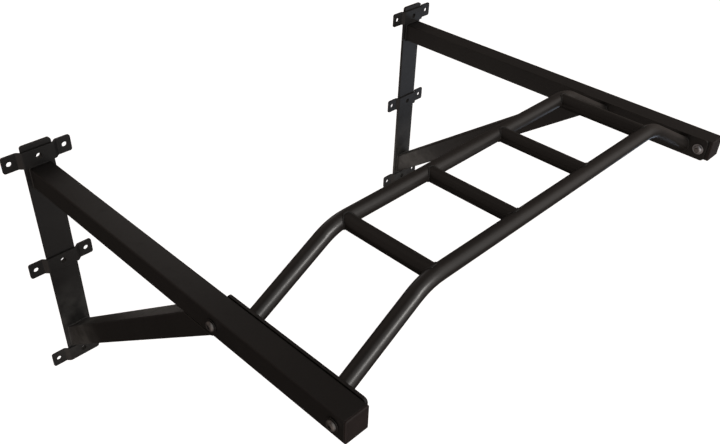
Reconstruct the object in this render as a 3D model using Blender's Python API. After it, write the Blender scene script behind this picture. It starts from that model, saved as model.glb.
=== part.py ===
"""Wall-mounted ladder rig: two steel wall brackets carrying a raised ladder of round tube.

Frame: +X runs along the wall, +Y points into the wall, +Z is up. The wall face is the plane
y = 0 and the uprights end at z = 0, so the rig stands out towards -Y. All sizes are in metres.
"""
import math

import bmesh
import bpy
from mathutils import Matrix, Vector

# ---- driving dimensions ----
GAP = 0.0003                    # air left between faces that touch on the real rig

BRACKET_X = 0.6096              # middle of each bracket, so the pair stands 48 inches apart
REACH = 0.9765                  # wall to the front of the beam caps

UPRIGHT_WIDTH = 0.070
UPRIGHT_THICKNESS = 0.008
UPRIGHT_HEIGHT = 0.622
UPRIGHT_CORNER = 0.006
WALL_HOLE = 0.014               # through the strap and the upright

STRAP_LENGTH = 0.160
STRAP_HEIGHT = 0.039
STRAP_THICKNESS = 0.005
STRAP_CORNER = 0.005
STRAP_PITCH = 0.28575           # between the three straps, from the lowest one up
STRAP_FRONT_HALF = 0.0372       # half length of the raised middle, on the centre line
STRAP_EAR_START = 0.0455        # where the ears land on the wall
STRAP_BEND = 0.005
EAR_HOLE = 0.0125
EAR_HOLE_X = 0.064

BEAM_SIZE = 0.0508
BEAM_WALL = 0.0025
BEAM_CORNER = 0.003
BEAM_TOP = 0.568

BRACE_SLOPE = 0.745             # rise over run, about 37 degrees
BRACE_FOOT = 0.0728             # height of the brace's centre line at the upright's face

CAP_FLANGE = 0.004
CAP_CHAMFER = 0.0015
CAP_PLUG_DEPTH = 0.014
CAP_PLUG_WALL = 0.0025
CAP_PLUG_CLEARANCE = 0.0006

PLATE_THICKNESS = 0.006
PLATE_OVERLAP = 0.0016          # how far the end plates stand past the beam, top and bottom
PLATE_BACK = -0.627
PLATE_FRONT = -0.967
PLATE_CORNER = 0.008

TUBE_RADIUS = 0.01625
TUBE_WALL = 0.0025
RAIL_Y = {"back": -0.684, "front": -0.9025}
RAIL_LIFT = 0.0825              # middle of the raised rails above the beams' top
RAIL_LEAN = {"back": 0.003, "front": 0.006}     # how far the rails lean back as they rise
RAIL_CORNER_X = 0.3805          # where slope and level run would meet
RAIL_BEND = 0.130
RUNG_PITCH = 0.2355
RUNG_COUNT = 4
RUNG_SHORT = 0.005              # the coped ends stop this far before the rails' centre lines

BOLT_Y = {"back": -0.649, "front": -0.949}
BOLT_RADIUS = 0.006
BOLT_HOLE = 0.013
BOLT_END = 0.0008               # thread that stands out of the lock nut
HEAD_RADIUS = 0.0105
HEAD_HEIGHT = 0.006
SOCKET_FLATS = 0.008
SOCKET_DEPTH = 0.004
NUT_FLATS = 0.019
NUT_HEIGHT = 0.0065             # thin pattern
NUT_COLLAR = 0.0018             # round collar that holds the nylon ring
WASHER_RADIUS = 0.013
WASHER_THICKNESS = 0.002

CORNER_STEPS = 4
TUBE_SIDES = 20
BEND_STEPS = 6
HOLE_SIDES = 24
BOLT_SIDES = 24

SIDES = {"left": -1, "right": 1}
BEAM_MIDDLE = BEAM_TOP - BEAM_SIZE / 2
INNER_CORNER = BEAM_CORNER - BEAM_WALL
FACE_Y = -(UPRIGHT_THICKNESS + GAP)     # where beams, braces and straps meet the uprights


# ---- materials ----
def principled(name, colour, roughness, metallic):
    material = bpy.data.materials.new(name)
    material.use_nodes = True
    shader = material.node_tree.nodes["Principled BSDF"]
    shader.inputs["Base Color"].default_value = (*colour, 1.0)
    shader.inputs["Roughness"].default_value = roughness
    shader.inputs["Metallic"].default_value = metallic
    material.diffuse_color = (*colour, 1.0)
    return material


def make_materials():
    return {
        "coat": principled("black_powder_coat", (0.014, 0.012, 0.011), 0.42, 0.0),
        "plastic": principled("black_plastic", (0.020, 0.015, 0.014), 0.55, 0.0),
        "zinc": principled("bright_zinc", (0.62, 0.62, 0.63), 0.32, 1.0),
        "dark_zinc": principled("dark_zinc", (0.10, 0.10, 0.10), 0.45, 1.0),
    }


# ---- outlines and paths ----
def rounded_rectangle(width, height, radius):
    """Corner-rounded outline about the origin, as (u, v) pairs, anticlockwise."""
    points = []
    for quarter, (sign_u, sign_v) in enumerate(((1, 1), (-1, 1), (-1, -1), (1, -1))):
        centre_u = sign_u * (width / 2 - radius)
        centre_v = sign_v * (height / 2 - radius)
        for step in range(CORNER_STEPS + 1):
            angle = math.pi / 2 * (quarter + step / CORNER_STEPS)
            points.append((centre_u + radius * math.cos(angle), centre_v + radius * math.sin(angle)))
    return points


def circle(radius, sides):
    return [(radius * math.cos(math.tau * i / sides), radius * math.sin(math.tau * i / sides))
            for i in range(sides)]


def hexagon(flats, sides, limit=None):
    """Hexagon outline with as many points as a circle, cut to a circle of radius limit."""
    points = []
    for i in range(sides):
        angle = math.tau * i / sides
        off_flat = (angle + math.pi / 6) % (math.pi / 3) - math.pi / 6
        radius = flats / 2 / math.cos(off_flat)
        if limit is not None:
            radius = min(radius, limit)
        points.append((radius * math.cos(angle), radius * math.sin(angle)))
    return points


def bent_path(corners, radius):
    """Points and directions along straight runs joined by arcs of the given radius."""
    corners = [Vector(corner) for corner in corners]
    first = (corners[1] - corners[0]).normalized()
    last = (corners[-1] - corners[-2]).normalized()
    stations = [(corners[0], first)]
    for before, corner, after in zip(corners, corners[1:], corners[2:]):
        way_in = (corner - before).normalized()
        way_out = (after - corner).normalized()
        turn = way_in.angle(way_out)
        start = corner - way_in * radius * math.tan(turn / 2)
        inward = (way_out - way_in * way_in.dot(way_out)).normalized()
        for step in range(BEND_STEPS + 1):
            angle = turn * step / BEND_STEPS
            place = start + way_in * radius * math.sin(angle) + inward * radius * (1 - math.cos(angle))
            heading = way_in * math.cos(angle) + inward * math.sin(angle)
            stations.append((place, heading))
    stations.append((corners[-1], last))
    return stations


# ---- solids ----
def loft(name, rings, wrap=False):
    """Closed mesh through rings of equally many points: capped, or wrapped round as a tube."""
    mesh = bpy.data.meshes.new(name)
    shape = bmesh.new()
    rows = [[shape.verts.new(point) for point in ring] for ring in rings]
    pairs = list(zip(rows, rows[1:]))
    if wrap:
        pairs.append((rows[-1], rows[0]))
    else:
        shape.faces.new(rows[0])
        shape.faces.new(rows[-1])
    count = len(rows[0])
    for row, following in pairs:
        for i in range(count):
            j = (i + 1) % count
            shape.faces.new((row[i], row[j], following[j], following[i]))
    bmesh.ops.recalc_face_normals(shape, faces=shape.faces)
    shape.to_mesh(mesh)
    shape.free()
    mesh.shade_smooth()
    mesh.set_sharp_from_angle(angle=math.radians(32))
    return mesh


def along_x(outline, x):
    return [(x, u, v) for u, v in outline]


def along_y(outline, y):
    return [(u, y, v) for u, v in outline]


def along_z(outline, z):
    return [(u, v, z) for u, v in outline]


def place(name, mesh, material, location=(0, 0, 0), turn_z=0.0, parent=None):
    thing = bpy.data.objects.new(name, mesh)
    bpy.context.scene.collection.objects.link(thing)
    thing.location = location
    thing.rotation_euler = (0, 0, turn_z)
    thing.parent = parent
    if material is not None and not mesh.materials:
        mesh.materials.append(material)
    return thing


def cut(target, cutter):
    """Boolean difference, with the cutter kept as a hidden guide."""
    cutter.hide_render = True
    cutter.display_type = "WIRE"
    modifier = target.modifiers.new("cut_" + cutter.name, "BOOLEAN")
    modifier.operation = "DIFFERENCE"
    modifier.object = cutter


def drill_y(name, diameter, location, parent):
    outline = circle(diameter / 2, HOLE_SIDES)
    mesh = loft(name, [along_y(outline, -0.03), along_y(outline, 0.03)])
    return place(name, mesh, None, location, parent=parent)


def drill_x(name, diameter, location, parent, half_length):
    outline = circle(diameter / 2, HOLE_SIDES)
    mesh = loft(name, [along_x(outline, -half_length), along_x(outline, half_length)])
    return place(name, mesh, None, location, parent=parent)


# ---- wall brackets ----
def upright_mesh():
    outline = rounded_rectangle(UPRIGHT_WIDTH, UPRIGHT_HEIGHT, UPRIGHT_CORNER)
    return loft("upright", [along_y(outline, -UPRIGHT_THICKNESS), along_y(outline, 0)])


def strap_mesh():
    """Flat bar joggled over the upright, its ears flat on the wall."""
    ear_y = -STRAP_THICKNESS / 2
    front_y = FACE_Y - STRAP_THICKNESS / 2
    half = STRAP_LENGTH / 2
    corners = [(-half, ear_y, 0), (-STRAP_EAR_START, ear_y, 0), (-STRAP_FRONT_HALF, front_y, 0),
               (STRAP_FRONT_HALF, front_y, 0), (STRAP_EAR_START, ear_y, 0), (half, ear_y, 0)]
    sections = []
    for middle, heading in bent_path(corners, STRAP_BEND):
        across = Vector((-heading.y, heading.x, 0)) * STRAP_THICKNESS / 2
        up = Vector((0, 0, STRAP_HEIGHT / 2))
        sections.append([middle - across - up, middle + across - up, middle + across + up, middle - across + up])
    mesh = loft("strap", sections)
    shape = bmesh.new()
    shape.from_mesh(mesh)
    ends = [edge for edge in shape.edges
            if all(abs(abs(vert.co.x) - half) < GAP and abs(abs(vert.co.z) - STRAP_HEIGHT / 2) < GAP
                   for vert in edge.verts)
            and abs(edge.verts[0].co.y - edge.verts[1].co.y) > GAP]
    bmesh.ops.bevel(shape, geom=ends, offset=STRAP_CORNER, segments=CORNER_STEPS, affect="EDGES",
                    profile=0.5)
    shape.to_mesh(mesh)
    shape.free()
    return mesh


def square_tube_rings(outline_outer, outline_inner, start, end):
    """Four rings of a hollow tube; start and end turn an outline point into a place."""
    return [[start(u, v) for u, v in outline_outer], [end(u, v) for u, v in outline_outer],
            [end(u, v) for u, v in outline_inner], [start(u, v) for u, v in outline_inner]]


def beam_mesh():
    outer = rounded_rectangle(BEAM_SIZE, BEAM_SIZE, BEAM_CORNER)
    inner_size = BEAM_SIZE - 2 * BEAM_WALL
    inner = rounded_rectangle(inner_size, inner_size, INNER_CORNER)
    front = -(REACH - CAP_FLANGE - GAP)
    rings = square_tube_rings(outer, inner, lambda u, v: (u, FACE_Y, v), lambda u, v: (u, front, v))
    return loft("beam", rings, wrap=True)


def brace_mesh():
    """Square tube cut upright at the wall end and level under the beam."""
    outer = rounded_rectangle(BEAM_SIZE, BEAM_SIZE, BEAM_CORNER)
    inner_size = BEAM_SIZE - 2 * BEAM_WALL
    inner = rounded_rectangle(inner_size, inner_size, INNER_CORNER)
    angle = math.atan(BRACE_SLOPE)
    underside = BEAM_TOP - BEAM_SIZE - GAP

    def foot(u, v):
        return (u, FACE_Y, BRACE_FOOT + v / math.cos(angle))

    def head(u, v):
        height = BRACE_FOOT + v / math.cos(angle)
        return (u, FACE_Y - (underside - height) / BRACE_SLOPE, underside)

    return loft("brace", square_tube_rings(outer, inner, foot, head), wrap=True)


def beam_cap_mesh():
    """Push-in plastic cap: chamfered flange outside, hollow square plug inside the beam."""
    plug = BEAM_SIZE - 2 * BEAM_WALL - 2 * CAP_PLUG_CLEARANCE
    plug_corner = INNER_CORNER
    core = plug - 2 * CAP_PLUG_WALL
    core_corner = plug_corner / 2
    flange_back = -(REACH - CAP_FLANGE)
    plug_back = flange_back + CAP_PLUG_DEPTH
    face = BEAM_SIZE - 2 * CAP_CHAMFER
    rings = [
        along_y(rounded_rectangle(face, face, BEAM_CORNER - CAP_CHAMFER), -REACH),
        along_y(rounded_rectangle(BEAM_SIZE, BEAM_SIZE, BEAM_CORNER), -REACH + CAP_CHAMFER),
        along_y(rounded_rectangle(BEAM_SIZE, BEAM_SIZE, BEAM_CORNER), flange_back),
        along_y(rounded_rectangle(plug, plug, plug_corner), flange_back),
        along_y(rounded_rectangle(plug, plug, plug_corner), plug_back),
        along_y(rounded_rectangle(core, core, core_corner), plug_back),
        along_y(rounded_rectangle(core, core, core_corner), flange_back),
    ]
    return loft("beam_cap", rings)


def build_brackets(materials):
    meshes = {"upright": upright_mesh(), "strap": strap_mesh(), "beam": beam_mesh(), "brace": brace_mesh(),
              "cap": beam_cap_mesh()}
    coat = materials["coat"]
    for side, sign in SIDES.items():
        hub = bpy.data.objects.new(side + "_bracket", None)
        bpy.context.scene.collection.objects.link(hub)
        hub.location = (sign * BRACKET_X, 0, 0)
        upright = place(side + "_upright", meshes["upright"], coat, (0, 0, UPRIGHT_HEIGHT / 2), parent=hub)
        for index, level in enumerate(("bottom", "middle", "top")):
            height = STRAP_HEIGHT / 2 + index * STRAP_PITCH
            strap = place(f"{side}_strap_{level}", meshes["strap"], coat, (0, 0, height), parent=hub)
            centre = drill_y(f"{side}_{level}_centre_hole", WALL_HOLE, (0, 0, height), hub)
            cut(strap, centre)
            cut(upright, centre)
            for ear in (-1, 1):
                hole = drill_y(f"{side}_{level}_ear_hole_{ear}", EAR_HOLE, (ear * EAR_HOLE_X, 0, height), hub)
                cut(strap, hole)
        beam = place(side + "_beam", meshes["beam"], coat, (0, 0, BEAM_MIDDLE), parent=hub)
        for end, y in BOLT_Y.items():
            cut(beam, drill_x(f"{side}_{end}_beam_hole", BOLT_HOLE, (0, y, BEAM_MIDDLE), hub, BEAM_SIZE))
        place(side + "_brace", meshes["brace"], coat, parent=hub)
        place(side + "_beam_cap", meshes["cap"], materials["plastic"], (0, 0, BEAM_MIDDLE), parent=hub)


# ---- ladder ----
def plate_outer_x():
    """Distance from the middle of the rig to the plate face that lies on the beam."""
    return BRACKET_X - BEAM_SIZE / 2 - GAP


def plate_mesh():
    length = PLATE_BACK - PLATE_FRONT
    outline = rounded_rectangle(length, BEAM_SIZE + 2 * PLATE_OVERLAP, PLATE_CORNER)
    half = PLATE_THICKNESS / 2
    return loft("end_plate", [along_x(outline, -half), along_x(outline, half)])


def rail_rings(end, radius):
    """Rings of one bent rail, its ends cut flat where they meet the plates."""
    end_x = plate_outer_x() - PLATE_THICKNESS - GAP
    level = BEAM_TOP + RAIL_LIFT
    root = BEAM_MIDDLE
    y = RAIL_Y[end]
    lean = RAIL_LEAN[end]
    corners = [(-end_x, y - lean, root), (-RAIL_CORNER_X, y, level),
               (RAIL_CORNER_X, y, level), (end_x, y - lean, root)]
    across = Vector((0, level - root, -lean)).normalized()
    stations = bent_path(corners, RAIL_BEND)
    rings = []
    for index, (middle, heading) in enumerate(stations):
        lift = heading.cross(across)
        ring = [middle + across * u + lift * v for u, v in circle(radius, TUBE_SIDES)]
        if index in (0, len(stations) - 1):
            target = middle.x
            ring = [point + heading * (target - point.x) / heading.x for point in ring]
        rings.append(ring)
    return rings


def rail_mesh(end):
    outer = rail_rings(end, TUBE_RADIUS)
    inner = rail_rings(end, TUBE_RADIUS - TUBE_WALL)
    return loft("rail", outer + inner[::-1], wrap=True)


def rung_mesh():
    """Straight tube between the rails, before its ends are coped to them."""
    outer = circle(TUBE_RADIUS, TUBE_SIDES)
    inner = circle(TUBE_RADIUS - TUBE_WALL, TUBE_SIDES)
    back = RAIL_Y["back"] - RUNG_SHORT
    front = RAIL_Y["front"] + RUNG_SHORT
    return loft("rung", [along_y(outer, back), along_y(outer, front), along_y(inner, front),
                         along_y(inner, back)], wrap=True)


def build_ladder(materials):
    coat = materials["coat"]
    hub = bpy.data.objects.new("ladder", None)
    bpy.context.scene.collection.objects.link(hub)

    copes = []
    for end in RAIL_Y:
        place(f"{end}_rail", rail_mesh(end), coat, parent=hub)
        cope = loft(f"{end}_cope", rail_rings(end, TUBE_RADIUS + GAP))
        copes.append(place(f"{end}_cope", cope, None, parent=hub))

    rung = rung_mesh()
    for index in range(RUNG_COUNT):
        x = (index - (RUNG_COUNT - 1) / 2) * RUNG_PITCH
        tube = place(f"rung_{index + 1}", rung, coat, (x, 0, BEAM_TOP + RAIL_LIFT), parent=hub)
        for cope in copes:
            cut(tube, cope)

    plate = plate_mesh()
    plate_y = (PLATE_BACK + PLATE_FRONT) / 2
    for side, sign in SIDES.items():
        x = sign * (plate_outer_x() - PLATE_THICKNESS / 2)
        body = place(side + "_end_plate", plate, coat, (x, plate_y, BEAM_MIDDLE), parent=hub)
        for end, y in BOLT_Y.items():
            hole = drill_x(f"{side}_{end}_plate_hole", BOLT_HOLE, (x, y, BEAM_MIDDLE), hub, PLATE_THICKNESS)
            cut(body, hole)


# ---- fasteners, along local +X from under the bolt's head ----
def washer_mesh():
    outer = circle(WASHER_RADIUS, BOLT_SIDES)
    inner = circle(BOLT_HOLE / 2, BOLT_SIDES)
    return loft("washer", [along_x(outer, 0), along_x(outer, WASHER_THICKNESS),
                           along_x(inner, WASHER_THICKNESS), along_x(inner, 0)], wrap=True)


def bolt_mesh(length):
    """Button-head bolt: hexagon socket, dome, shank and chamfered end."""
    chamfer = 0.001
    socket = hexagon(SOCKET_FLATS, BOLT_SIDES)
    rings = [along_x(socket, SOCKET_DEPTH - HEAD_HEIGHT), along_x(socket, -HEAD_HEIGHT)]
    for step in range(5):
        fall = step / 4
        radius = SOCKET_FLATS * 0.66 + (HEAD_RADIUS - SOCKET_FLATS * 0.66) * math.sin(fall * math.pi / 2)
        rise = 0.0012 + (HEAD_HEIGHT - 0.0012) * math.cos(fall * math.pi / 2)
        rings.append(along_x(circle(radius, BOLT_SIDES), -rise))
    rings.append(along_x(circle(HEAD_RADIUS, BOLT_SIDES), 0))
    shank = circle(BOLT_RADIUS, BOLT_SIDES)
    tip = circle(BOLT_RADIUS - chamfer, BOLT_SIDES)
    rings += [along_x(shank, 0), along_x(shank, length - chamfer), along_x(tip, length)]
    return loft("bolt", rings)


def nut_mesh():
    """Lock nut: hexagon, then the round collar round its nylon ring."""
    body = NUT_HEIGHT - NUT_COLLAR
    chamfer = 0.001
    full = hexagon(NUT_FLATS, BOLT_SIDES)
    low = hexagon(NUT_FLATS, BOLT_SIDES, NUT_FLATS / 2 * 1.02)
    collar = circle(NUT_FLATS / 2 * 0.94, BOLT_SIDES)
    rim = circle(NUT_FLATS / 2 * 0.80, BOLT_SIDES)
    bore = circle(BOLT_RADIUS + GAP, BOLT_SIDES)
    return loft("lock_nut", [along_x(low, 0), along_x(full, chamfer), along_x(full, body - chamfer),
                             along_x(collar, body), along_x(collar, NUT_HEIGHT - chamfer),
                             along_x(rim, NUT_HEIGHT), along_x(bore, NUT_HEIGHT), along_x(bore, 0)], wrap=True)


def build_fasteners(materials):
    """Bolt heads on the beams' outer faces, lock nuts inside, a washer under each."""
    zinc = materials["zinc"]
    beam_face = BRACKET_X + BEAM_SIZE / 2
    head_seat = beam_face + WASHER_THICKNESS + 2 * GAP
    nut_seat = plate_outer_x() - PLATE_THICKNESS - WASHER_THICKNESS - 2 * GAP
    length = head_seat - nut_seat + NUT_HEIGHT + BOLT_END
    bolt = bolt_mesh(length)
    nut = nut_mesh()
    inner_washer = washer_mesh()
    outer_washer = washer_mesh()
    for side, sign in SIDES.items():
        turn = math.pi if sign > 0 else 0.0
        for end, y in BOLT_Y.items():
            name = f"{side}_{end}"
            place(name + "_bolt", bolt, zinc, (sign * head_seat, y, BEAM_MIDDLE), turn)
            place(name + "_nut", nut, zinc, (sign * nut_seat, y, BEAM_MIDDLE), turn)
            outside = sign * (head_seat - GAP)
            place(name + "_outer_washer", outer_washer, materials["dark_zinc"], (outside, y, BEAM_MIDDLE), turn)
            inside = sign * (nut_seat + GAP + WASHER_THICKNESS)
            place(name + "_inner_washer", inner_washer, zinc, (inside, y, BEAM_MIDDLE), turn)


def main():
    for thing in list(bpy.data.objects):
        bpy.data.objects.remove(thing, do_unlink=True)
    materials = make_materials()
    build_brackets(materials)
    build_ladder(materials)
    build_fasteners(materials)


main()
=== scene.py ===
import math

import bpy
from mathutils import Matrix, Vector
from mathutils.bvhtree import BVHTree
from mathutils.geometry import convex_hull_2d


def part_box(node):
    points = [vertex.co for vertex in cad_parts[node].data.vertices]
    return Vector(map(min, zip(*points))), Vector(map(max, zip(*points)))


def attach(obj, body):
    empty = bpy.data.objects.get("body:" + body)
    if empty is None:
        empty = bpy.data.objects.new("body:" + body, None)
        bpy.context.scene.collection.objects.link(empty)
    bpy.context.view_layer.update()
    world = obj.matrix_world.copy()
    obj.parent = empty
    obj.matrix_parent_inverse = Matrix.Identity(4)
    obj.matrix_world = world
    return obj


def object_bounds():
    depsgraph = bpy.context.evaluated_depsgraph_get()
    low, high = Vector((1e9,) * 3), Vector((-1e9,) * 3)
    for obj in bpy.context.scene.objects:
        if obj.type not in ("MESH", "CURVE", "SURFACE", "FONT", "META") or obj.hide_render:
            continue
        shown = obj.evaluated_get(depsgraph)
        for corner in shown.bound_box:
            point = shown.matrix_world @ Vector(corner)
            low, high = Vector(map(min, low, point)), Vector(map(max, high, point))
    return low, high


# Looks of the wall-mounted ladder rig. Everything is in metres, in the frame of the CAD model.

# ---- weld beads ----
BEAD_STEP = 0.0009              # spacing of the rings along a bead
BEAD_SIDES = 8
RIPPLE_PITCH = 0.0034           # one ridge of the weld to the next
RIPPLE_DEPTH = 0.13             # of the bead's radius
RIPPLE_SWEEP = 0.0012           # how far the ridges curve back at a bead's sides
FRAME_BEAD = 0.0028
FLUSH_BEAD = 0.0014             # where two tubes of one width meet
RAIL_BEAD = 0.0025
RUNG_BEAD = 0.0021
PLANE_TOLERANCE = 0.0002
SADDLE_STEPS = 72               # places along the outline of a rung's end

# ---- edges of the carried-over solids ----
WELD_DISTANCE = 0.00001
EDGE_RADIUS = {"default": 0.0008, "washer": 0.0003, "nut": 0.0004, "bolt": 0.0003}
SHARP_ANGLE = math.radians(30)

# ---- finishes ----
# Painted reflection: a lighter grey patch round the foot of each brace stands in for reflected light.
REFLECTION_PATCH_PLACE = (0.6096, 0.060, 0.110)     # foot of a brace, with x and y taken as positive
REFLECTION_PATCH_REACH = 0.15
REFLECTION_PATCH_GREY = (0.085, 0.085, 0.082)
WORN_GREY = (0.044, 0.042, 0.040)

# ---- camera ----
CAMERA_LENS = 40.264            # millimetres, as is the sensor's width
CAMERA_SENSOR = 36.0
CAMERA_SHIFT = (0.0168, 0.0096)
CAMERA_PLACE = (-1.2082, -1.5233, 1.5000)
CAMERA_RIGHT = Vector((0.7084232, -0.7053506, 0.0248403))
CAMERA_DOWN = Vector((-0.4012330, -0.4314363, -0.8080067))
CAMERA_AHEAD = Vector((0.5806450, 0.5624439, -0.5886495))

# ---- floor and light ----
FLOOR_DROP = 1.15               # floor below the foot of the brackets
FLOOR_HALF = 60.0
FLOOR_GLOW = 0.80               # keeps the floor pale where little light reaches it

# Soft lobes of the studio dome: the way to each and its strength. All share one sharpness and tint.
DOME_SHARPNESS = 6.0
DOME_TINT = (1.14, 0.96, 0.86)
DOME_BASE = 0.008
DOME_LOBES = (
    ((-0.71, -0.49, -0.50), 0.55),
    ((0.85, -0.31, 0.43), 0.28),
    ((-0.99, -0.04, -0.17), 0.18),
    ((0.05, 0.55, 0.83), 0.20),
    ((-0.40, 0.77, 0.50), 0.16),
    ((-0.85, 0.49, 0.17), 0.11),
    ((0.97, 0.21, 0.10), 0.08),
    ((0.38, -0.67, -0.63), 0.07),
    ((-0.13, 0.99, -0.03), 0.05),
    ((0.69, 0.69, -0.23), 0.04),
)
# Soft lamps: name, place, point lit, width, watts, colour.
SOFT_LAMPS = (
    ("wall_lamp", (0.30, 0.90, 1.20), (-0.61, -0.10, 0.57), 0.7, 1.0, (1.05, 1.0, 0.96)),
    ("low_lamp", (0.00, 0.60, -0.50), (0.60, -0.10, 0.10), 0.7, 1.0, (1.08, 1.0, 0.94)),
    ("cool_lamp", (1.60, -0.90, -0.10), (0.61, 0.00, 0.42), 0.5, 0.8, (0.82, 0.97, 1.20)),
)
KEY_DIRECTION = (0.12, -0.90, 0.42)
KEY_SPREAD = math.radians(9)
KEY_STRENGTH = 1.9
FILL_SPREAD = math.radians(110)
FILL_STRENGTH = 1.3
KEY_COLOUR = (1.03, 1.0, 0.97)
BACKDROP = (0.94, 0.94, 0.94)

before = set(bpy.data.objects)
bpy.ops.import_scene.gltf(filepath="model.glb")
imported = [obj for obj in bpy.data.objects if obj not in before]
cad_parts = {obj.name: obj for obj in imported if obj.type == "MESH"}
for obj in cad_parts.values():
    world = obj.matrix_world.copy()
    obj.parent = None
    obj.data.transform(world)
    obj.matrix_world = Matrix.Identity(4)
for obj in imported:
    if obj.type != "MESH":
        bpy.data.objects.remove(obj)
CAD_BOX = [list(corner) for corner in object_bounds()]


# ---- shader nodes ----
class Graph:
    """Adds nodes to a material and links them."""

    def __init__(self, name):
        self.material = bpy.data.materials.new(name)
        self.material.use_nodes = True
        self.tree = self.material.node_tree
        self.shader = self.tree.nodes["Principled BSDF"]
        self.place = self.add("ShaderNodeTexCoord").outputs["Object"]

    def add(self, kind, inputs=(), **settings):
        node = self.tree.nodes.new(kind)
        for key, value in settings.items():
            setattr(node, key, value)
        for key, value in dict(inputs).items():
            self.feed(node.inputs[key], value)
        return node

    def feed(self, socket, value):
        if isinstance(value, bpy.types.NodeSocket):
            self.tree.links.new(value, socket)
        else:
            socket.default_value = value

    def noise(self, scale, detail=2.0, rough=0.5, place=None):
        settings = {"Vector": place or self.place, "Scale": scale, "Detail": detail, "Roughness": rough}
        return self.add("ShaderNodeTexNoise", settings).outputs["Fac"]

    def stretched(self, x, y, z):
        """Object coordinates scaled by axis, for brushed or drawn metal."""
        return self.add("ShaderNodeMapping", {"Vector": self.place, "Scale": (x, y, z)}).outputs[0]

    def remap(self, value, low, high, to_low, to_high):
        inputs = {"Value": value, "From Min": low, "From Max": high, "To Min": to_low, "To Max": to_high}
        return self.add("ShaderNodeMapRange", inputs).outputs[0]

    def maths(self, operation, first, second):
        return self.add("ShaderNodeMath", {0: first, 1: second}, operation=operation).outputs[0]

    def mix(self, factor, first, second):
        """Blend of two colours. The node repeats its socket names for each data type."""
        inputs = {"Factor": factor, "A": first, "B": second}
        node = self.add("ShaderNodeMix", data_type="RGBA")
        for socket in node.inputs:
            if socket.name == "Factor" and socket.type == "VALUE":
                self.feed(socket, inputs["Factor"])
            if socket.name in "AB" and socket.type == "RGBA":
                self.feed(socket, inputs[socket.name])
        return next(out for out in node.outputs if out.type == "RGBA")

    def edges(self, radius):
        """Near 1 on sharp outside and inside edges, 0 on flat or gently bent faces."""
        rounded = self.add("ShaderNodeBevel", {"Radius": radius}, samples=6).outputs[0]
        plain = self.add("ShaderNodeNewGeometry").outputs["Normal"]
        dot = self.add("ShaderNodeVectorMath", {0: rounded, 1: plain}, operation="DOT_PRODUCT")
        return self.remap(dot.outputs["Value"], 0.985, 0.86, 0.0, 1.0)

    def bump(self, height, distance, strength, normal=None):
        inputs = {"Height": height, "Distance": distance, "Strength": strength}
        if normal is not None:
            inputs["Normal"] = normal
        return self.add("ShaderNodeBump", inputs).outputs[0]

    def finish(self, colour, roughness, normal, **plain):
        self.feed(self.shader.inputs["Base Color"], colour)
        self.feed(self.shader.inputs["Roughness"], roughness)
        self.feed(self.shader.inputs["Normal"], normal)
        for key, value in plain.items():
            self.shader.inputs[key.replace("_", " ")].default_value = value
        return self.material


def rgba(colour, gain=1.0):
    """Opaque colour, each channel times gain."""
    return (*(channel * gain for channel in colour), 1.0)


def powder_coat(name, tint, roughness, painted_reflection=0.0):
    """Fine-grained matt powder coat: cloudy shade, dust specks, worn edges, orange-peel relief.

    The last argument is how much lighter grey, a painted reflection, lies round the feet of the braces.
    """
    graph = Graph(name)
    cloud = graph.remap(graph.noise(6.0, 4.0, 0.6), 0.32, 0.70, 0.0, 1.0)
    speck = graph.remap(graph.noise(520.0, 2.0, 0.6), 0.60, 0.78, 0.0, 0.55)
    smudge = graph.remap(graph.noise(38.0, 5.0, 0.65), 0.52, 0.74, 0.0, 1.0)
    colour = graph.mix(cloud, rgba(tint, 0.78), rgba(tint, 1.24))
    colour = graph.mix(speck, colour, rgba(tint, 2.3))
    # Painted reflection: lighter grey round the brace feet, made patchy by noise.
    if painted_reflection:
        mirrored = graph.add("ShaderNodeVectorMath", {0: graph.place}, operation="ABSOLUTE").outputs[0]
        inputs = {0: mirrored, 1: REFLECTION_PATCH_PLACE}
        apart = graph.add("ShaderNodeVectorMath", inputs, operation="DISTANCE").outputs["Value"]
        near = graph.remap(apart, REFLECTION_PATCH_REACH, 0.4 * REFLECTION_PATCH_REACH, 0.0, painted_reflection)
        reflection_patchiness = graph.remap(graph.noise(26.0, 3.0, 0.6), 0.36, 0.62, 0.35, 1.0)
        colour = graph.mix(graph.maths("MULTIPLY", near, reflection_patchiness), colour, rgba(REFLECTION_PATCH_GREY))
    scuffs = graph.remap(graph.noise(90.0, 4.0, 0.7), 0.44, 0.66, 0.10, 1.0)
    wear = graph.maths("MULTIPLY", graph.edges(0.0016), scuffs)
    colour = graph.mix(graph.maths("MULTIPLY", wear, 0.8), colour, rgba(WORN_GREY))
    rough = graph.remap(smudge, 0.0, 1.0, roughness, roughness + 0.09)
    rough = graph.maths("SUBTRACT", rough, graph.maths("MULTIPLY", wear, 0.10))
    peel = graph.bump(graph.noise(620.0, 2.0, 0.5), 0.00010, 0.55)
    grain = graph.bump(graph.noise(2600.0, 1.0, 0.5), 0.00003, 0.45, peel)
    return graph.finish(colour, rough, grain, Specular_IOR_Level=0.5)


def moulded_plastic(name, tint):
    """Injection-moulded black plastic: spark-eroded grain, a slight bloom and rubbed edges."""
    graph = Graph(name)
    cloud = graph.remap(graph.noise(45.0, 3.0, 0.6), 0.35, 0.68, 0.0, 1.0)
    colour = graph.mix(cloud, rgba(tint, 0.85), rgba(tint, 1.18))
    rubbed = graph.maths("MULTIPLY", graph.edges(0.0014), graph.remap(graph.noise(160.0), 0.4, 0.7, 0.3, 1.0))
    colour = graph.mix(graph.maths("MULTIPLY", rubbed, 0.7), colour, rgba(tint, 2.6))
    rough = graph.remap(graph.noise(300.0, 2.0), 0.3, 0.7, 0.50, 0.62)
    relief = graph.bump(graph.noise(1500.0, 2.0, 0.6), 0.00008, 0.6)
    return graph.finish(colour, rough, relief, Specular_IOR_Level=0.45)


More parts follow.
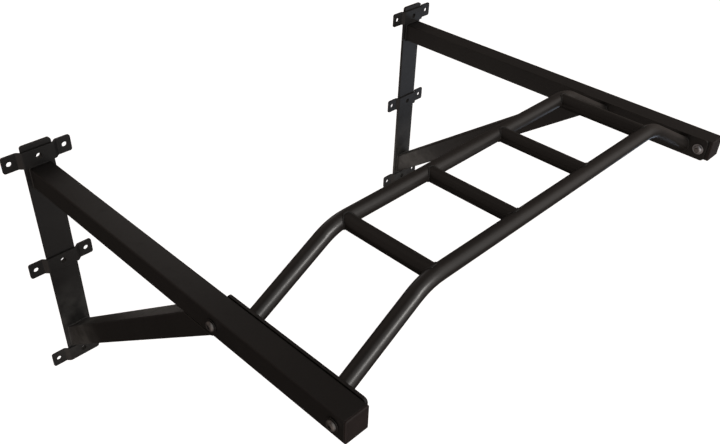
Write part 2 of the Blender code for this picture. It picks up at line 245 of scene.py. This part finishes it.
def zinc(name, tint, roughness, dull):
    """Zinc-plated steel: crystal blotches, drawn scratches and bright edges."""
    graph = Graph(name)
    cells = graph.add("ShaderNodeTexVoronoi", {"Vector": graph.place, "Scale": 420.0}).outputs["Distance"]
    blotch = graph.remap(graph.noise(150.0, 4.0, 0.6), 0.35, 0.68, 0.0, 1.0)
    colour = graph.mix(blotch, rgba(tint, dull), rgba(tint))
    colour = graph.mix(graph.remap(cells, 0.0, 0.9, 0.25, 0.0), colour, rgba(tint, 1.15))
    bright = graph.maths("MULTIPLY", graph.edges(0.0006), 0.6)
    colour = graph.mix(bright, colour, rgba(tint, 1.35))
    scratch = graph.noise(1.0, 2.0, 0.6, graph.stretched(2400.0, 350.0, 350.0))
    rough = graph.remap(scratch, 0.3, 0.7, roughness - 0.06, roughness + 0.10)
    relief = graph.bump(scratch, 0.00004, 0.35)
    return graph.finish(colour, rough, relief, Metallic=1.0)


COATS = {
    "wall": powder_coat("powder_coat_wall_plates", (0.0112, 0.0106, 0.0104), 0.46, 0.7),
    "frame": powder_coat("powder_coat_square_tube", (0.0088, 0.0077, 0.0070), 0.46, 1.0),
    "ladder": powder_coat("powder_coat_round_tube", (0.0095, 0.0080, 0.0070), 0.37),
}
PLASTIC = moulded_plastic("moulded_black_plastic", (0.0190, 0.0118, 0.0108))
# The dark and the dull zinc below are darker copies of the bright zinc: painted shade on the outer washers
# and on the bolts.
BRIGHT_ZINC = zinc("bright_zinc_plate", (0.55, 0.55, 0.57), 0.34, 0.72)
ZINC_PAINTED_SHADE_DARK = zinc("zinc_plate_painted_shade_dark", (0.10, 0.097, 0.094), 0.45, 0.60)
ZINC_PAINTED_SHADE_DIM = zinc("zinc_plate_painted_shade_dim", (0.26, 0.25, 0.245), 0.42, 0.62)

# Outer washers and bolts take the darker zinc copies, which are painted shade.
NODE_FINISH = (
    ("_cap", PLASTIC), ("outer_washer", ZINC_PAINTED_SHADE_DARK), ("inner_washer", BRIGHT_ZINC), ("_bolt", ZINC_PAINTED_SHADE_DIM),
    ("_nut", BRIGHT_ZINC), ("upright", COATS["wall"]), ("strap", COATS["wall"]), ("beam", COATS["frame"]),
    ("brace", COATS["frame"]), ("plate", COATS["frame"]), ("rail", COATS["ladder"]),
    ("rung", COATS["ladder"]),
)


def dress_nodes():
    """Each CAD node gets its finish, joined faces, rounded edges and soft shading between them."""
    for name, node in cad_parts.items():
        finish = next(material for part, material in NODE_FINISH if part in name)
        for slot in node.material_slots:
            slot.link = "OBJECT"
            slot.material = finish
        radius = next((size for part, size in EDGE_RADIUS.items() if part in name), EDGE_RADIUS["default"])
        join = node.modifiers.new("join", "WELD")
        join.merge_threshold = WELD_DISTANCE
        edge = node.modifiers.new("edge", "BEVEL")
        edge.width = radius
        edge.segments = 2
        edge.limit_method = "ANGLE"
        edge.angle_limit = SHARP_ANGLE
        shading = node.modifiers.new("shading", "WEIGHTED_NORMAL")
        shading.keep_sharp = False
        shading.mode = "FACE_AREA"


# ---- weld beads ----
def resampled(path):
    """Evenly spaced places round a closed path of (place, outward) pairs, with step and ridge pitch."""
    pairs = [*path, path[0]]
    lengths = [0.0]
    for before, after in zip(pairs, pairs[1:]):
        lengths.append(lengths[-1] + (after[0] - before[0]).length)
    ridges = max(2, round(lengths[-1] / RIPPLE_PITCH))
    count = ridges * round(RIPPLE_PITCH / BEAD_STEP)
    even = []
    segment = 0
    for index in range(count):
        along = lengths[-1] * index / count
        while lengths[segment + 1] < along and segment < len(lengths) - 2:
            segment += 1
        share = (along - lengths[segment]) / max(lengths[segment + 1] - lengths[segment], 1e-9)
        even.append(tuple(before.lerp(after, share) for before, after in zip(*pairs[segment:segment + 2])))
    return even, lengths[-1] / count, lengths[-1] / ridges


def bead(name, path, radius, finish):
    """Rippled weld bead round a closed path, riding on the root body."""
    even, step, pitch = resampled(path)
    count = len(even)
    rings = []
    for index, (middle, outward) in enumerate(even):
        heading = (even[(index + 1) % count][0] - even[index - 1][0]).normalized()
        side = (outward - heading * outward.dot(heading)).normalized()
        other = heading.cross(side)
        ring = []
        for turn in range(BEAD_SIDES):
            angle = math.tau * turn / BEAD_SIDES
            along = index * step + RIPPLE_SWEEP * math.cos(angle)
            ridge = abs(math.cos(math.pi * along / pitch))
            size = radius * (1.0 - RIPPLE_DEPTH * ridge ** 2)
            ring.append(middle + side * size * math.cos(angle) + other * size * math.sin(angle))
        rings.append(ring)
    verts = [place for ring in rings for place in ring]
    faces = []
    for index in range(count):
        near = index * BEAD_SIDES
        far = (index + 1) % count * BEAD_SIDES
        for turn in range(BEAD_SIDES):
            ahead = (turn + 1) % BEAD_SIDES
            faces.append((near + turn, near + ahead, far + ahead, far + turn))
    mesh = bpy.data.meshes.new(name)
    mesh.from_pydata(verts, [], faces)
    mesh.shade_smooth()
    mesh.materials.append(finish)
    piece = bpy.data.objects.new(name, mesh)
    bpy.context.scene.collection.objects.link(piece)
    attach(piece, "root")


def end_outline(node, axis, level):
    """Outer outline of a node's flat end on the plane where that axis is at level, with outward vectors."""
    others = [index for index in range(3) if index != axis]
    ends = [vert.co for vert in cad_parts[node].data.vertices
            if abs(vert.co[axis] - level) < PLANE_TOLERANCE]
    flat = [(place[others[0]], place[others[1]]) for place in ends]
    outline = []
    for index in convex_hull_2d(flat):
        place = Vector((0, 0, 0))
        place[axis] = level
        place[others[0]], place[others[1]] = flat[index]
        outline.append(place)
    middle = sum(outline, Vector()) / len(outline)
    return [(place, (place - middle).normalized()) for place in outline]


def bracket_beads(side):
    """Beads round the beam and the brace on the upright, and round the brace under the beam."""
    coat = COATS["frame"]
    beam_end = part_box(side + "_beam")[1][1]
    brace_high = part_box(side + "_brace")[1]
    bead(side + "_beam_weld", end_outline(side + "_beam", 1, beam_end), FRAME_BEAD, coat)
    bead(side + "_brace_foot_weld", end_outline(side + "_brace", 1, brace_high[1]), FRAME_BEAD, coat)
    bead(side + "_brace_head_weld", end_outline(side + "_brace", 2, brace_high[2]), FLUSH_BEAD, coat)


def rail_beads(rail):
    """Beads round both ends of a rail, on the end plates."""
    low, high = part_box(rail)
    for side, level in (("left", low[0]), ("right", high[0])):
        outline = end_outline(rail, 0, level)
        bead(f"{rail}_{side}_weld", outline, RAIL_BEAD, COATS["ladder"])


def surface(node):
    """Ray-casting tree over a node's mesh."""
    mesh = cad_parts[node].data
    verts = [vert.co for vert in mesh.vertices]
    return BVHTree.FromPolygons(verts, [face.vertices for face in mesh.polygons])


def rung_beads(rung, rails):
    """Saddle-shaped beads where a rung meets each rail, found by casting its outline onto the rail."""
    low, high = (Vector(corner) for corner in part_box(rung))
    middle = (low + high) / 2
    radius = (high.x - low.x) / 2
    for rail, tree in rails.items():
        rail_low, rail_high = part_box(rail)
        way = 1.0 if (rail_low[1] + rail_high[1]) / 2 > middle.y else -1.0
        stop = high.y if way > 0 else low.y
        path = []
        for index in range(SADDLE_STEPS):
            angle = math.tau * index / SADDLE_STEPS
            outward = Vector((math.cos(angle), 0, math.sin(angle)))
            start = middle + outward * radius * 0.999
            hit = tree.ray_cast(start, Vector((0, way, 0)))[0]
            place = Vector((start.x, stop, start.z))
            if hit is not None and (stop - hit.y) * way > 0:
                place.y = hit.y
            path.append((place, outward))
        bead(f"{rung}_{rail}_weld", path, RUNG_BEAD, COATS["ladder"])


def make_beads():
    for side in ("left", "right"):
        bracket_beads(side)
    rails = {name: surface(name) for name in ("back_rail", "front_rail")}
    for rail in rails:
        rail_beads(rail)
    for name in sorted(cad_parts):
        if name.startswith("rung"):
            rung_beads(name, rails)


# ---- camera, floor and light ----
def look_camera():
    """Camera at the viewing angle of the photograph."""
    data = bpy.data.cameras.new("camera")
    data.lens = CAMERA_LENS
    data.sensor_width = CAMERA_SENSOR
    data.shift_x, data.shift_y = CAMERA_SHIFT
    camera = bpy.data.objects.new("camera", data)
    bpy.context.scene.collection.objects.link(camera)
    turn = Matrix((CAMERA_RIGHT, -CAMERA_DOWN, -CAMERA_AHEAD)).transposed()
    camera.matrix_world = Matrix.Translation(CAMERA_PLACE) @ turn.to_4x4()
    bpy.context.scene.camera = camera


def make_floor():
    """Large pale sheet under the rig, bright enough to read as a white studio sweep."""
    low = CAD_BOX[0][2] - FLOOR_DROP
    corners = [(sx * FLOOR_HALF, sy * FLOOR_HALF, low) for sx, sy in ((-1, -1), (1, -1), (1, 1), (-1, 1))]
    mesh = bpy.data.meshes.new("floor")
    mesh.from_pydata(corners, [], [(0, 1, 2, 3)])
    graph = Graph("pale_floor")
    shade = graph.mix(graph.noise(0.6, 3.0), rgba((0.90, 0.90, 0.90)), rgba((0.93, 0.93, 0.93)))
    graph.feed(graph.shader.inputs["Emission Color"], rgba((1.0, 1.0, 1.0)))
    graph.shader.inputs["Emission Strength"].default_value = FLOOR_GLOW
    relief = graph.bump(graph.noise(40.0), 0.0005, 0.1)
    mesh.materials.append(graph.finish(shade, 0.9, relief, Specular_IOR_Level=0.0))
    floor = bpy.data.objects.new("floor", mesh)
    bpy.context.scene.collection.objects.link(floor)
    floor.visible_diffuse = False
    floor.visible_glossy = False
    floor.visible_shadow = False


def make_dome():
    """World: a pale backdrop for the camera, and a dim dome of soft lobes that lights the rig."""
    world = bpy.data.worlds.new("studio_dome")
    world.use_nodes = True
    bpy.context.scene.world = world
    tree = world.node_tree
    nodes, link = tree.nodes, tree.links.new
    dome = nodes["Background"]
    way = nodes.new("ShaderNodeTexCoord").outputs["Generated"]
    total = None
    for direction, strength in DOME_LOBES:
        dot = nodes.new("ShaderNodeVectorMath")
        dot.operation = "DOT_PRODUCT"
        link(way, dot.inputs[0])
        dot.inputs[1].default_value = Vector(direction).normalized()
        front = nodes.new("ShaderNodeMath")
        front.operation = "MAXIMUM"
        link(dot.outputs["Value"], front.inputs[0])
        front.inputs[1].default_value = 0.0
        power = nodes.new("ShaderNodeMath")
        power.operation = "POWER"
        link(front.outputs[0], power.inputs[0])
        power.inputs[1].default_value = DOME_SHARPNESS
        plus = nodes.new("ShaderNodeMath")
        plus.operation = "MULTIPLY_ADD"
        link(power.outputs[0], plus.inputs[0])
        plus.inputs[1].default_value = strength
        plus.inputs[2].default_value = DOME_BASE
        if total is not None:
            link(total, plus.inputs[2])
        total = plus.outputs[0]
    dome.inputs["Color"].default_value = rgba(DOME_TINT)
    link(total, dome.inputs["Strength"])
    backdrop = nodes.new("ShaderNodeBackground")
    backdrop.inputs["Color"].default_value = rgba(BACKDROP)
    seen = nodes.new("ShaderNodeLightPath").outputs["Is Camera Ray"]
    blend = nodes.new("ShaderNodeMixShader")
    link(seen, blend.inputs[0])
    link(dome.outputs[0], blend.inputs[1])
    link(backdrop.outputs[0], blend.inputs[2])
    link(blend.outputs[0], nodes["World Output"].inputs["Surface"])


def add_lamp(name, data, place, way):
    """Lamp at a place, shining against the given way, unseen by the camera."""
    lamp = bpy.data.objects.new(name, data)
    bpy.context.scene.collection.objects.link(lamp)
    lamp.location = place
    lamp.rotation_euler = way.to_track_quat("Z", "Y").to_euler()
    lamp.visible_camera = False
    return lamp


def make_lamps():
    """Narrow key light on the rails, broad fill from the same side, and soft lamps."""
    key = bpy.data.lights.new("key", "SUN")
    key.energy = KEY_STRENGTH
    key.angle = KEY_SPREAD
    key.color = KEY_COLOUR
    lamp = add_lamp("key", key, (0, 0, 0), Vector(KEY_DIRECTION))
    rails = bpy.data.collections.new("lit_by_key")
    for name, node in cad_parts.items():
        if "rail" in name:
            rails.objects.link(node)
    lamp.light_linking.receiver_collection = rails
    fill = bpy.data.lights.new("fill", "SUN")
    fill.energy = FILL_STRENGTH
    fill.angle = FILL_SPREAD
    fill.color = KEY_COLOUR
    add_lamp("fill", fill, (0, 0, 0), Vector(KEY_DIRECTION))
    for name, place, target, width, watts, colour in SOFT_LAMPS:
        data = bpy.data.lights.new(name, "AREA")
        data.shape = "DISK"
        data.size = width
        data.energy = watts
        data.color = colour
        add_lamp(name, data, place, Vector(place) - Vector(target))


look_camera()
dress_nodes()
make_beads()
make_floor()
make_dome()
make_lamps()
bpy.context.scene.view_settings.view_transform = "Standard"
bpy.context.view_layer.update()
